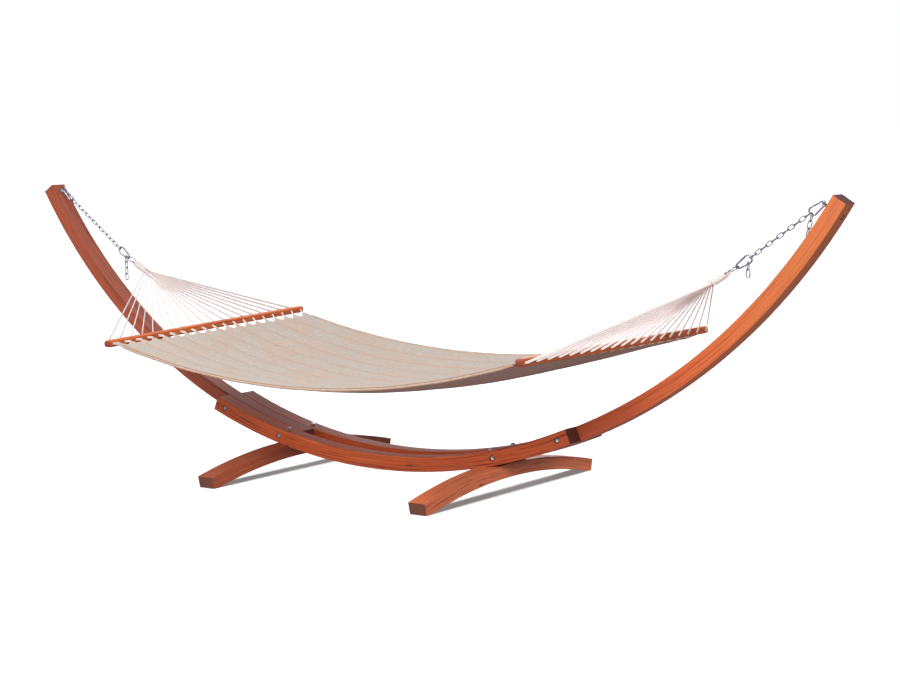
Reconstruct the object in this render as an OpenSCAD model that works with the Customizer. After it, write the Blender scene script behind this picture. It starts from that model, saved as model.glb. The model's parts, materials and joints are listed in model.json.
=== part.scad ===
// Arc hammock on a wooden stand: a laminated arch on two arched feet carries a
// quilted bed between two spreader bars, hung on chains, carabiners and rings.
// Millimetres. X runs along the stand, Z is up, the origin is on the floor at the middle.

/* [Arch] */
// Radius of the arch's inner face
arch_r = 2355; // [2300:5:2400]
// Height of a beam, measured along the arch's radius
beam_h = 62; // [56:1:68]
// Width of an arm and of each rail
beam_w = 80; // [70:1:90]
// Rounding of the beams' long edges
beam_edge = 3; // [1:0.5:6]
// Floor clearance under the rails at the middle
under_rails = 55; // [45:1:65]
// Angle of an arm's tip, from the lowest point of the arch
tip_angle = 58; // [57.8:0.1:58.6]
// Angle of an arm's inner end, between the rails
arm_end_angle = 12.1; // [11.8:0.1:12.4]
// Angle of the rails' ends
rail_end_angle = 22.7; // [22.5:0.1:24]

/* [Feet] */
// Distance of each foot from the middle
foot_x = 545; // [540:1:550]
// Width of a foot along X
foot_w = 80; // [74:1:86]
// Length of a foot across the stand, on the floor
foot_len = 1200; // [1100:10:1250]
// Rise of a foot's underside at the middle
foot_rise = 65; // [60:1:70]
// Thickness of a foot
foot_t = 55; // [50:1:58]
// Length of the flat pad at each end of a foot
foot_pad = 27; // [20:1:40]

/* [Fasteners] */
// Angle of the outer clamp bolts
clamp_outer_angle = 21.4; // [21:0.1:21.6]
// Angle of the inner clamp bolts
clamp_inner_angle = 13.6; // [13.5:0.1:14]
// Angle of the foot bolts
foot_bolt_angle = 13; // [12.9:0.1:13.05]
// Shank diameter of every bolt
bolt_d = 10; // [8:1:10]
// Diameter of the counterbores
bore_d = 24; // [23:1:26]
// Depth of the counterbores
bore_depth = 14; // [13:1:16]

/* [Suspension] */
// Angle of the left eye bolt
left_eye_angle = 57.02; // [56.9:0.02:57.1]
// Centre radius of an eye
eye_r = 12; // [12:0.5:13]
// Wire diameter of an eye
eye_wire = 7; // [6:0.5:7]
// Wire diameter of the carabiners
hook_wire = 8; // [7.5:0.5:8]
// Wire diameter of the chains
chain_wire = 4.5; // [4:0.5:4.5]
// Length that each chain link adds
chain_pitch = 27; // [26:0.5:28]
// Inner width of a chain link
chain_gap = 10; // [9.5:0.5:11]
// Number of links in the left chain
left_links = 14; // [12:2:16]
// Number of links in the right chain
right_links = 11; // [9:2:13]
// Number of links in the loose chain end at the left ring
left_lower_tail_links = 4; // [2:1:5]
// Number of links in the loose chain end at the right eye
right_upper_tail_links = 3; // [2:1:5]
// Number of links in the loose chain end at the right ring
right_lower_tail_links = 2; // [1:1:4]
// Centre radius of the rope rings
ring_r = 22.5; // [20:0.5:25]
// Wire diameter of the rope rings
ring_wire = 5; // [4:0.5:6]

/* [Hammock] */
// Length of a spreader bar
bar_len = 1360; // [1340:10:1400]
// Width of a spreader bar's section
bar_w = 30; // [28:1:34]
// Height of a spreader bar's section
bar_h = 31; // [28:1:36]
// Number of cord loops at each end
cord_count = 19; // [15:2:19]
// Spacing of the cord holes
cord_pitch = 73; // [60:1:74]
// Diameter of the cord
cord_d = 4; // [3:0.5:4]
// Half the width of the bed
bed_half = 666; // [640:1:668]
// Thickness of the quilted bed
bed_t = 12; // [8:1:14]
// Lengthwise sag of the bed below a straight line
bed_sag = 140; // [100:5:160]
// Crosswise sag of the bed at its middle
bed_belly = 55; // [30:5:70]

/* [Hidden] */
$fn = 64;
hull_fn = 32;
play = 0.4;

beam_mid_r = arch_r + beam_h / 2;
arch_out_r = arch_r + beam_h;
arch_z = under_rails + arch_out_r;

washer_t = 2;
washer_d = 21;
washer_lift = 0.03;
nut_af = 17;
nut_t = 8;
hex_fn = 6;

// The swing axis runs through the wires of both eyes
eye_centre_r = arch_r - washer_t - eye_r - eye_wire / 2;
left_pull = -39;
left_eye = arch_point(eye_centre_r, -left_eye_angle);
left_pivot = left_eye + eye_r * heading(left_pull);
swing_z = left_pivot[2];
right_eye_angle = acos((arch_z - swing_z) / (eye_centre_r - eye_r));
right_pivot = arch_point(eye_centre_r - eye_r, right_eye_angle);

// Carabiner: bend radii of its narrow and wide ends and the taper between them
hook_narrow = 9;
hook_wide = 16;
hook_span = 47;
hook_taper = asin((hook_wide - hook_narrow) / hook_span);
hook_side = hook_span * cos(hook_taper);
gate_d = 8.4;
gate_pivot = 10;
gate_tip = 41.8;
gate_slot = 3.8;
tongue_t = 3;
gate_pin_d = 2.5;
gate_bore_d = 2.8;
stub_end = 5.3;
nose_start = 42.5;

link_len = chain_pitch + 0.2;
upper_reach = hook_reach(eye_wire);
lower_reach = hook_reach(ring_wire);

// Rope between a ring and its clew
bundle_d = 22;
whip_d = 29;
whip_start = 11;
whip_end = 80;
clew_len = 114;
clew_row = 12;

// Headings of the upper carabiner, chain, lower carabiner and ring, in the XZ plane
left_run = [left_pull, -36.5, -35, -30.5];
right_run = [217, 215, 213.5, 211.9];
chain_extra = chain_wire + 0.2;
left_route = hang_route(left_pivot, left_run, left_links);
right_route = hang_route(right_pivot, right_run, right_links);

// Spreader bars: centre, turn about Z and tilt about X
left_bar_at = [-1054.5, 0, 599.5];
left_bar_turn = [1.4, 0, 2.8];
right_bar_at = [1080, 0, 628];
right_bar_turn = [0, 0, -1.1];
cord_hole_d = 11;
loop_half = cord_d / 2 + 0.35;
mouth = 4;

// The bed reaches to within bed_gap of the bars; its ends are hems, lower at the back
bed_gap = 32;
bed_left_drop = 0.5;
bed_left_lean = 10;
bed_right_drop = 10;
bed_right_lean = 6;
bed_belly_power = 0.84;
cover_t = 1.5;
hem_share = 0.022;
edge_w = 14;
bed_steps = 24;
side_steps = 10;

// ---------- geometry helpers ----------

// Unit vector at an angle above +X in the XZ plane
function heading(a) = [cos(a), 0, sin(a)];

// Point of the arch at radius r and angle a from its lowest point, towards +X
function arch_point(r, a) = [r * sin(a), 0, arch_z - r * cos(a)];

// Distance inside a carabiner from the wire in its narrow end to the chain in its wide end
function hook_reach(held_wire) = hook_start(held_wire) + hook_span + hook_wide
    - hook_wire / 2 - play - chain_wire / 2;
function hook_start(held_wire) = hook_narrow - hook_wire / 2 - play - held_wire / 2;

// Wire centres at the pivot, the two chain ends, the ring's two sides and the whipping's end
function hang_route(pivot, run, links) =
    let (chain_top = pivot + upper_reach * heading(run[0]),
        chain_end = chain_top + (links * chain_pitch + chain_extra) * heading(run[1]),
        ring_top = chain_end + lower_reach * heading(run[2]),
        ring_end = ring_top + 2 * ring_r * heading(run[3]),
        whip = ring_end + whip_end * heading(run[3]))
    [pivot, chain_top, chain_end, ring_top, ring_end, whip];

// Point q given in a spreader bar's own frame, where Y runs along the bar
function bar_point(at, turn, q) =
    let (y = q[1] * cos(turn[0]) - q[2] * sin(turn[0]),
        z = q[1] * sin(turn[0]) + q[2] * cos(turn[0]))
    at + [q[0] * cos(turn[2]) - y * sin(turn[2]), q[0] * sin(turn[2]) + y * cos(turn[2]), z];

// Bed surface: t runs from the left end (0) to the right end (1), y across the bed
function bed_point(t, y, depth) =
    let (left_drop = bed_left_drop + bed_left_lean * y / bed_half,
        left = bar_point(left_bar_at, left_bar_turn, [bed_gap, y, -left_drop]),
        right_drop = bed_right_drop + bed_right_lean * y / bed_half,
        right = bar_point(right_bar_at, right_bar_turn, [-bed_gap, y, -right_drop]),
        bow = 4 * t * (1 - t),
        dip = bed_sag * bow + bed_belly * pow(bow, bed_belly_power) * (1 - pow(y / bed_half, 2)))
    [left[0] + (right[0] - left[0]) * t, y, left[2] + (right[2] - left[2]) * t - dip - depth];

function unit(v) = v / norm(v);

// Rings of a tube swept along points, each ring square to the bend that it stands in
function tube_ring(points, i, r, up, sides) =
    let (last = len(points) - 1,
        before = i == 0 ? unit(points[1] - points[0]) : unit(points[i] - points[i - 1]),
        after = i == last ? before : unit(points[i + 1] - points[i]),
        along = unit(before + after),
        u = unit(up - along * (up * along)),
        v = cross(along, u),
        widen = 1 / sqrt((1 + before * after) / 2),
        bend = after - before,
        b = norm(bend) < 0.001 ? u : unit(bend - along * (bend * along)))
    [for (k = [0 : sides - 1])
        let (arm = r * (cos(360 * k / sides) * u + sin(360 * k / sides) * v))
        points[i] + arm + (widen - 1) * (arm * b) * b];

module tube(points, d, up, sides = 8) {
    last = len(points) - 1;
    rings = [for (i = [0 : last]) each tube_ring(points, i, d / 2, up, sides)];
    walls = [for (i = [0 : last - 1], k = [0 : sides - 1])
        let (n = (k + 1) % sides)
        each [[i * sides + k, i * sides + n, (i + 1) * sides + n],
            [i * sides + k, (i + 1) * sides + n, (i + 1) * sides + k]]];
    start_cap = [[for (k = [sides - 1 : -1 : 0]) k]];
    end_cap = [[for (k = [0 : sides - 1]) last * sides + k]];
    polyhedron(rings, [for (f = concat(walls, start_cap, end_cap))
        [for (k = [len(f) - 1 : -1 : 0]) f[k]]], convexity = 4);
}

// Closed slab of the bed between two lengthwise shares, two widths and two depths
module bed_slab(t0, t1, y0, y1, top, bottom, nt, ny) {
    row = ny + 1;
    count = (nt + 1) * row;
    layer = function (depth) [for (i = [0 : nt], j = [0 : ny])
        bed_point(t0 + (t1 - t0) * i / nt, y0 + (y1 - y0) * j / ny, depth)];
    points = concat(layer(top), layer(bottom));
    quads = [for (i = [0 : nt - 1], j = [0 : ny - 1]) [i * row + j, i * row + j + 1,
        (i + 1) * row + j + 1, (i + 1) * row + j]];
    rim = concat([for (j = [0 : ny]) j], [for (i = [1 : nt]) i * row + ny],
        [for (j = [ny - 1 : -1 : 0]) nt * row + j], [for (i = [nt - 1 : -1 : 1]) i * row]);
    faces = concat(
        [for (q = quads) each [[q[0], q[1], q[2]], [q[0], q[2], q[3]]]],
        [for (q = quads) each [[q[2] + count, q[1] + count, q[0] + count],
            [q[3] + count, q[2] + count, q[0] + count]]],
        [for (k = [0 : len(rim) - 1])
            let (a = rim[k], b = rim[(k + 1) % len(rim)])
            each [[b, a, a + count], [b, a + count, b + count]]]);
    polyhedron(points, faces, convexity = 4);
}

module rounded_rect(w, h, r) {
    translate([-w / 2 + r, -h / 2]) square([w - 2 * r, h]);
    translate([-w / 2, -h / 2 + r]) square([w, h - 2 * r]);
    for (x = [-1, 1], y = [-1, 1])
        translate([x * (w / 2 - r), y * (h / 2 - r)]) circle(r);
}

// ---------- stand ----------

// Curved beam centred on y, between two angles measured from the arch's lowest point
module arch_beam(y, from, to) {
    translate([0, 0, arch_z])
        rotate([90, 0, 0])
            rotate([0, 0, from - 90])
                rotate_extrude(angle = to - from, $fn = 360)
                    translate([beam_mid_r, -y]) rounded_rect(beam_h, beam_w, beam_edge);
}

// Everything below is placed on the arch at an angle, with Z pointing to the arch's centre
module on_arch(r, a, y = 0) {
    translate(arch_point(r, a) + [0, y, 0]) rotate([0, -a, 0]) children();
}

module across(d, y0, y1) {
    translate([0, y0, 0]) rotate([-90, 0, 0]) cylinder(d = d, h = y1 - y0);
}

module clamp_places() {
    for (a = [-clamp_outer_angle, -clamp_inner_angle, clamp_inner_angle, clamp_outer_angle])
        on_arch(beam_mid_r, a) children();
}

module foot_bolt_places() {
    for (side = [-1, 1], y = [-beam_w, beam_w])
        on_arch(arch_r, side * foot_bolt_angle, y) children();
}

clamp_half = beam_w * 1.5;
clamp_seat = clamp_half - bore_depth;
foot_grip = beam_h + foot_t - 10;

module clamp_holes(hole_d) {
    clamp_places() across(hole_d, -clamp_half - 1, clamp_half + 1);
}

module clamp_counterbores() {
    clamp_places() {
        across(bore_d, -clamp_half - 1, -clamp_seat);
        across(bore_d, clamp_seat, clamp_half + 1);
    }
}

module eye_hole(a) {
    on_arch(arch_r, a) {
        translate([0, 0, -beam_h - 1]) cylinder(d = bolt_d, h = beam_h + 2);
        translate([0, 0, -beam_h - 1]) cylinder(d = bore_d, h = bore_depth + 1);
    }
}

module arm(side) {
    difference() {
        if (side > 0) arch_beam(0, arm_end_angle, tip_angle);
        else arch_beam(0, -tip_angle, -arm_end_angle);
        clamp_holes(bolt_d);
        eye_hole(side > 0 ? right_eye_angle : -left_eye_angle);
    }
}

module left_arm() {
    color("#a5522f") arm(-1);
}

module right_arm() {
    color("#b95a2e") arm(1);
}

module rail(y) {
    difference() {
        arch_beam(y, -rail_end_angle, rail_end_angle);
        clamp_holes(bolt_d);
        clamp_counterbores();
        foot_bolt_places()
            translate([0, 0, -foot_grip]) cylinder(d = bolt_d, h = foot_grip + 2);
    }
}

module front_rail() {
    color("#b4552c") rail(-beam_w);
}

module back_rail() {
    color("#8f4329") rail(beam_w);
}

// Side view of a foot: two concentric arcs, standing on a flat pad at each end
module foot_profile() {
    half = foot_len / 2;
    reach = half - foot_pad;
    inner_r = (reach * reach + foot_rise * foot_rise) / (2 * foot_rise);
    end_lean = (foot_t + 20) * half / inner_r;
    difference() {
        intersection() {
            translate([0, foot_rise - inner_r]) circle(inner_r + foot_t, $fn = 360);
            polygon([[-half, 0], [half, 0], [half + end_lean, foot_t + 20], [half, foot_t + 100],
                [-half, foot_t + 100], [-half - end_lean, foot_t + 20]]);
        }
        translate([0, foot_rise - inner_r]) circle(inner_r, $fn = 360);
    }
}

// The left foot, hollowed on top into a saddle for the arch
module foot() {
    difference() {
        translate([-foot_x - foot_w / 2, 0, 0])
            rotate([90, 0, 90]) linear_extrude(foot_w) foot_profile();
        translate([0, 0, arch_z]) rotate([90, 0, 0])
            cylinder(r = arch_out_r, h = 2 * clamp_half + 2, center = true, $fn = 360);
        for (y = [-beam_w, beam_w]) on_arch(arch_r, -foot_bolt_angle, y) {
            translate([0, 0, -foot_grip - 60]) cylinder(d = bolt_d, h = foot_grip + 62);
            translate([0, 0, -foot_grip - 60]) cylinder(d = bore_d + 2, h = 60);
        }
    }
}

module left_foot() {
    color("#9a4a2b") foot();
}

module right_foot() {
    color("#a9532d") mirror([1, 0, 0]) foot();
}

// ---------- fasteners ----------

module washer(hole) {
    difference() {
        cylinder(d = washer_d, h = washer_t);
        translate([0, 0, -1]) cylinder(d = hole, h = washer_t + 2);
    }
}

module nut() {
    difference() {
        cylinder(d = nut_af / cos(30), h = nut_t, $fn = hex_fn);
        translate([0, 0, -1]) cylinder(d = bolt_d, h = nut_t + 2);
    }
}

// Socket-head bolt whose head starts at Z = 0 and whose shank runs down
module socket_bolt(shank) {
    difference() {
        union() {
            cylinder(d = 16, h = bolt_d);
            translate([0, 0, -shank]) cylinder(d = bolt_d, h = shank);
        }
        translate([0, 0, bolt_d / 2]) cylinder(d = 8 / cos(30), h = bolt_d, $fn = hex_fn);
    }
}

module hex_bolt(shank) {
    cylinder(d = nut_af / cos(30), h = 6.5, $fn = hex_fn);
    translate([0, 0, -shank]) cylinder(d = bolt_d, h = shank);
}

clamp_shank = 2 * clamp_seat + washer_t + nut_t + 3;

module clamp_bolts() {
    color("#c9ced6") clamp_places()
        translate([0, -clamp_seat - washer_t, 0]) rotate([90, 0, 0])
            socket_bolt(clamp_shank + washer_t);
}

module clamp_washers() {
    color("#b9bec6") clamp_places() for (side = [-1, 1])
        translate([0, side * clamp_seat, 0]) rotate([side > 0 ? -90 : 90, 0, 0]) washer(bolt_d);
}

module clamp_nuts() {
    color("#b9bec6") clamp_places()
        translate([0, clamp_seat + washer_t, 0]) rotate([-90, 0, 0]) nut();
}

module foot_bolts() {
    color("#c9ced6") foot_bolt_places()
        translate([0, 0, washer_lift + washer_t])
            hex_bolt(foot_grip + 2 * washer_t + nut_t + 4);
}

module foot_washers() {
    color("#b9bec6") foot_bolt_places() {
        translate([0, 0, washer_lift]) washer(bolt_d);
        translate([0, 0, -foot_grip - washer_t]) washer(bolt_d);
    }
}

module foot_nuts() {
    color("#b9bec6") foot_bolt_places()
        translate([0, 0, -foot_grip - washer_t - nut_t]) nut();
}

// Eye bolt: its eye stands on the arch's inner face, its shank runs out through the arm
module eye_bolt(a, turn) {
    color("#c9ced6") on_arch(arch_r, a) {
        difference() {
            translate([0, 0, -beam_h + bore_depth - washer_t - nut_t - 2])
                cylinder(d = bolt_d - 0.5, h = beam_h - bore_depth + 2 * washer_t + nut_t + 4);
            translate([0, 0, washer_t + eye_r + eye_wire / 2])
                rotate([0, 0, turn]) rotate([90, 0, 0])
                    cylinder(r = eye_r, h = 2 * bolt_d, center = true);
        }
        translate([0, 0, washer_t + eye_r + eye_wire / 2])
            rotate([0, 0, turn]) rotate([90, 0, 0])
                rotate_extrude() translate([eye_r, 0]) circle(d = eye_wire);
    }
}

module left_eye_bolt() {
    eye_bolt(-left_eye_angle, 0);
}

module right_eye_bolt() {
    eye_bolt(right_eye_angle, 90);
}

module eye_places() {
    on_arch(arch_r, -left_eye_angle) children();
    on_arch(arch_r, right_eye_angle) children();
}

module eye_washers() {
    color("#b9bec6") eye_places() {
        translate([0, 0, washer_lift]) washer(bolt_d);
        translate([0, 0, -beam_h + bore_depth - washer_t]) washer(bolt_d);
    }
}

module eye_nuts() {
    color("#b9bec6") eye_places()
        translate([0, 0, -beam_h + bore_depth - washer_t - nut_t]) nut();
}

// ---------- carabiners ----------

// Places its children on the gate side, X along the side and Y pointing into the carabiner
module gate_side() {
    rotate([0, 0, -hook_taper]) translate([0, -hook_narrow, 0]) children();
}

function gate_point(s) = [s * cos(hook_taper) - hook_narrow * sin(hook_taper),
    -s * sin(hook_taper) - hook_narrow * cos(hook_taper), 0];

function arc_points(x, r, from, to, steps) =
    [for (k = [0 : steps]) let (a = from + (to - from) * k / steps) [x + r * cos(a), r * sin(a), 0]];

// Carabiner in the XY plane, its narrow bend centred on the origin and its wide end at +X
module hook_body() {
    half_turn = 90 + hook_taper;
    tube(concat([gate_point(stub_end)],
        arc_points(0, hook_narrow, 360 - half_turn, half_turn, 10),
        arc_points(hook_span, hook_wide, half_turn, -half_turn, 14),
        [gate_point(nose_start)]), hook_wire, [0, 0, 1], 12);
    gate_side() {
        difference() {
            translate([stub_end - 1, -3, -tongue_t / 2])
                cube([gate_pivot + 4 - stub_end, 6, tongue_t]);
            translate([gate_pivot, 0, -5]) cylinder(d = gate_pin_d, h = 10);
        }
        translate([gate_tip - 6, -2.2, -tongue_t / 2])
            cube([nose_start + 1 - gate_tip + 6, 4.4, tongue_t]);
    }
}

// Gate: a slotted rod, forked over the hinge tongue and over the nose
module hook_gate() {
    gate_side() difference() {
        union() {
            translate([gate_pivot, 0, 0]) rotate([0, 90, 0])
                cylinder(d = gate_d, h = gate_tip - gate_pivot);
            intersection() {
                translate([gate_pivot - gate_d / 2, 0, 0]) rotate([0, 90, 0])
                    cylinder(d = gate_d, h = gate_d);
                translate([gate_pivot, 0, -gate_d / 2]) cylinder(d = gate_d, h = gate_d);
            }
        }
        translate([gate_pivot - gate_d, -gate_d, -gate_slot / 2])
            cube([gate_d + 5, 2 * gate_d, gate_slot]);
        translate([gate_tip - 7, -gate_d, -gate_slot / 2]) cube([gate_d, 2 * gate_d, gate_slot]);
        translate([gate_pivot, 0, -gate_d]) cylinder(d = gate_bore_d, h = 2 * gate_d);
    }
}

module hook_rivet() {
    gate_side() translate([gate_pivot, 0, 0]) {
        cylinder(d = gate_pin_d, h = gate_d + 0.6, center = true);
        for (side = [0, 180])
            rotate([side, 0, 0]) translate([0, 0, gate_d / 2 + 0.3]) cylinder(d = 4.4, h = 1);
    }
}

// Places a carabiner so that the wire in its narrow end is at a point
module hook_at(point, a, roll, held_wire) {
    translate(point) rotate([0, -a, 0]) rotate([roll, 0, 0])
        translate([hook_start(held_wire), 0, 0]) children();
}

module left_upper_place() {
    hook_at(left_route[0], left_run[0], 0, eye_wire) children();
}

module left_lower_place() {
    hook_at(left_route[3], left_run[2] + 180, 90, ring_wire) children();
}

module right_upper_place() {
    hook_at(right_route[0], right_run[0], 90, eye_wire) children();
}

module right_lower_place() {
    hook_at(right_route[3], right_run[2] - 180, -90, ring_wire) children();
}

module left_upper_carabiner() {
    color("#c4c9d2") left_upper_place() hook_body();
}

module left_upper_gate() {
    color("#aeb4bf") left_upper_place() hook_gate();
}

module left_upper_rivet() {
    color("#8f959f") left_upper_place() hook_rivet();
}

module left_lower_carabiner() {
    color("#c4c9d2") left_lower_place() hook_body();
}

module left_lower_gate() {
    color("#aeb4bf") left_lower_place() hook_gate();
}

module left_lower_rivet() {
    color("#8f959f") left_lower_place() hook_rivet();
}

module right_upper_carabiner() {
    color("#c4c9d2") right_upper_place() hook_body();
}

module right_upper_gate() {
    color("#aeb4bf") right_upper_place() hook_gate();
}

module right_upper_rivet() {
    color("#8f959f") right_upper_place() hook_rivet();
}

module right_lower_carabiner() {
    color("#c4c9d2") right_lower_place() hook_body();
}

module right_lower_gate() {
    color("#aeb4bf") right_lower_place() hook_gate();
}

module right_lower_rivet() {
    color("#8f959f") right_lower_place() hook_rivet();
}

// ---------- chains and rings ----------

// Half turn of wire in the XY plane, centred on the origin
module half_turn_wire(r, d, from) {
    rotate([0, 0, from]) rotate_extrude(angle = 180) translate([r, 0]) circle(d = d);
}

// One link in the XY plane: its first end wire is at X = 0 and the link runs to +X
module link() {
    bend = (chain_gap + chain_wire) / 2;
    straight = link_len + chain_wire - 2 * bend;
    translate([bend, 0, 0]) half_turn_wire(bend, chain_wire, 90);
    translate([bend + straight, 0, 0]) half_turn_wire(bend, chain_wire, -90);
    for (side = [-1, 1]) translate([bend, side * bend, 0])
        rotate([0, 90, 0]) cylinder(d = chain_wire, h = straight);
}

// Straight run of links; turn is 90 when the first link stands in the XZ plane
module chain(from, a, count, turn) {
    translate(from) rotate([0, -a, 0])
        for (i = [0 : count - 1])
            translate([i * chain_pitch, 0, 0]) rotate([turn + 90 * (i % 2), 0, 0]) link();
}

module left_chain() {
    color("#b9bfca") chain(left_route[1], left_run[1], left_links, 90);
}

module right_chain() {
    color("#b9bfca") chain(right_route[1], right_run[1], right_links, 0);
}

// Point of a carabiner's back, s along the straight side, for a carabiner in the XZ plane
function back_point(wire_at, a, side, s, held_wire) =
    let (x = hook_start(held_wire) - hook_narrow * sin(hook_taper) + s * cos(hook_taper),
        y = side * (hook_narrow * cos(hook_taper) + s * sin(hook_taper)))
    wire_at + [x * cos(a) - y * sin(a), 0, x * sin(a) + y * cos(a)];

// Loose chain end that hangs from a sloping wire at a point, leaning towards -X
module tail(point, slope, links, lean = 0) {
    crown = (hook_wire / 2) / cos(slope) + chain_wire / 2 * tan(slope) + play;
    chain(point - (crown + chain_wire / 2) * heading(270 - lean), 270 - lean, links, 0);
}

// The upper end leans against the arm
arm_lean = 15;
left_tail_at = back_point(left_route[3], left_run[2] + 180, 1, 8, ring_wire);
right_upper_tail_at = right_route[0] + (hook_start(eye_wire) + hook_span) * heading(right_run[0])
    + hook_wide * heading(270 - arm_lean);
right_lower_tail_at = back_point(right_route[3], right_run[2] - 180, -1, 40, ring_wire);

module left_lower_chain_tail() {
    color("#b9bfca") tail(left_tail_at, abs(left_run[2] + hook_taper), left_lower_tail_links);
}

module right_upper_chain_tail() {
    color("#b9bfca") tail(right_upper_tail_at, 0, right_upper_tail_links, arm_lean);
}

module right_lower_chain_tail() {
    color("#b9bfca") tail(right_lower_tail_at, abs(right_run[2] - 180 - hook_taper),
        right_lower_tail_links);
}

// Ring whose plane holds the Y axis and the pull of the rope
module ring(route, run) {
    color("#b9bfca") translate((route[3] + route[4]) / 2) rotate([0, -run[3], 0])
        rotate_extrude() translate([ring_r, 0]) circle(d = ring_wire);
}

module left_ring() {
    ring(left_route, left_run);
}

module right_ring() {
    ring(right_route, right_run);
}

// ---------- ropes ----------

// X runs from the ring's far side along the rope
module along_rope(route, run) {
    translate(route[4]) rotate([0, -run[3], 0]) children();
}

module rope_bundle(route, run) {
    color("#e6dccb") along_rope(route, run) {
        rotate([0, 90, 0]) cylinder(d = bundle_d, h = whip_end);
        across(2 * 5 + ring_wire, -bundle_d / 2, bundle_d / 2);
    }
}

module left_rope_bundle() {
    rope_bundle(left_route, left_run);
}

module right_rope_bundle() {
    rope_bundle(right_route, right_run);
}

module whipping(route, run) {
    color("#efe7d8") along_rope(route, run)
        translate([whip_start, 0, 0]) rotate([0, 90, 0]) difference() {
            cylinder(d = whip_d, h = whip_end - whip_start);
            translate([0, 0, -1]) cylinder(d = bundle_d, h = whip_end - whip_start + 2);
        }
}

module left_whipping() {
    whipping(left_route, left_run);
}

module right_whipping() {
    whipping(right_route, right_run);
}

// Woven clew: a flat wedge that gives off one cord loop at each row of its weave
module clew(route, run) {
    color("#e9dfce") along_rope(route, run) translate([whip_end, 0, 0]) hull() {
        for (y = [-1, 1]) translate([0, y * 9, 0]) rotate([0, 90, 0])
            cylinder(d = 13, h = 1, $fn = hull_fn);
        translate([clew_len - 1, 0, 0]) rotate([0, 90, 0]) cylinder(d = 9, h = 1, $fn = hull_fn);
    }
}

module left_clew() {
    clew(left_route, left_run);
}

module right_clew() {
    clew(right_route, right_run);
}

cord_reach = (cord_count - 1) / 2;

// Start of cord loop i in the clew
function cord_root(route, run, i) =
    route[5] + (cord_reach - abs(i) + 0.3) * clew_row * heading(run[3])
        + [0, sign(i) * (3 + 0.9 * abs(i)), 0];

// One loop: out of the clew, through the bar, round in the hem and back again
module cord_loop(route, run, at, turn, i) {
    out = at[0] < 0 ? 1 : -1;
    root = cord_root(route, run, i);
    lift = out * loop_half * [-sin(run[3]), 0, cos(run[3])];
    y = i * cord_pitch;
    bed_y = y * (bed_half - 20) / (cord_reach * cord_pitch);
    hem = bed_point((1 - out) / 2, bed_y, bed_t / 2);
    half = [for (z = [loop_half, -loop_half])
        [bar_point(at, turn, [-out * (bar_w / 2 + mouth), y, z]),
            bar_point(at, turn, [out * (bar_w / 2 + mouth), y, z])]];
    upper = [root + lift, half[0][0], half[0][1]];
    under = [half[1][1], half[1][0], root - lift];
    turn_back = [hem + [0, 0, loop_half], hem + [out * loop_half * 1.2, 0, 0],
        hem - [0, 0, loop_half]];
    tube(concat(upper, turn_back, under), cord_d, [0, 1, 0]);
}

module left_cords() {
    color("#f0e9dc") for (i = [-cord_reach : cord_reach])
        cord_loop(left_route, left_run, left_bar_at, left_bar_turn, i);
}

module right_cords() {
    color("#f0e9dc") for (i = [-cord_reach : cord_reach])
        cord_loop(right_route, right_run, right_bar_at, right_bar_turn, i);
}

// ---------- spreader bars ----------

module spreader_bar(at, turn) {
    color("#b3481f") translate(at) rotate(turn) difference() {
        intersection() {
            rotate([90, 0, 0]) linear_extrude(bar_len + 2, center = true)
                rounded_rect(bar_w, bar_h, 9);
            rotate([90, 0, 90]) linear_extrude(bar_w + 2, center = true)
                rounded_rect(bar_len, bar_h, 12);
        }
        for (i = [-cord_reach : cord_reach])
            translate([-bar_w, i * cord_pitch, 0]) rotate([0, 90, 0])
                cylinder(d = cord_hole_d, h = 2 * bar_w);
    }
}

module left_spreader_bar() {
    spreader_bar(left_bar_at, left_bar_turn);
}

module right_spreader_bar() {
    spreader_bar(right_bar_at, right_bar_turn);
}

// ---------- bed ----------

bed_inner = bed_half - edge_w;

module bed_top_cover() {
    color("#cdb9a2") bed_slab(hem_share, 1 - hem_share, -bed_inner, bed_inner,
        0, cover_t, bed_steps, side_steps);
}

module bed_padding() {
    color("#d9cdb8") bed_slab(hem_share, 1 - hem_share, -bed_inner, bed_inner,
        cover_t, bed_t - cover_t, bed_steps, side_steps);
}

module bed_bottom_cover() {
    color("#a98f78") bed_slab(hem_share, 1 - hem_share, -bed_inner, bed_inner,
        bed_t - cover_t, bed_t, bed_steps, side_steps);
}

module left_hem() {
    color("#c4ae96") bed_slab(0, hem_share, -bed_half, bed_half, 0, bed_t, 2, side_steps);
}

module right_hem() {
    color("#c4ae96") bed_slab(1 - hem_share, 1, -bed_half, bed_half, 0, bed_t, 2, side_steps);
}

module front_binding() {
    color("#b3916f") bed_slab(hem_share, 1 - hem_share, -bed_half, -bed_inner,
        0, bed_t, bed_steps, 1);
}

module back_binding() {
    color("#b3916f") bed_slab(hem_share, 1 - hem_share, bed_inner, bed_half,
        0, bed_t, bed_steps, 1);
}

left_arm();
right_arm();
front_rail();
back_rail();
left_foot();
right_foot();
clamp_bolts();
clamp_washers();
clamp_nuts();
foot_bolts();
foot_washers();
foot_nuts();
left_eye_bolt();
right_eye_bolt();
eye_washers();
eye_nuts();
left_upper_carabiner();
left_upper_gate();
left_upper_rivet();
left_lower_carabiner();
left_lower_gate();
left_lower_rivet();
right_upper_carabiner();
right_upper_gate();
right_upper_rivet();
right_lower_carabiner();
right_lower_gate();
right_lower_rivet();
left_chain();
right_chain();
left_lower_chain_tail();
right_upper_chain_tail();
right_lower_chain_tail();
left_ring();
right_ring();
left_rope_bundle();
right_rope_bundle();
left_whipping();
right_whipping();
left_clew();
right_clew();
left_cords();
right_cords();
left_spreader_bar();
right_spreader_bar();
bed_top_cover();
bed_padding();
bed_bottom_cover();
left_hem();
right_hem();
front_binding();
back_binding();
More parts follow.
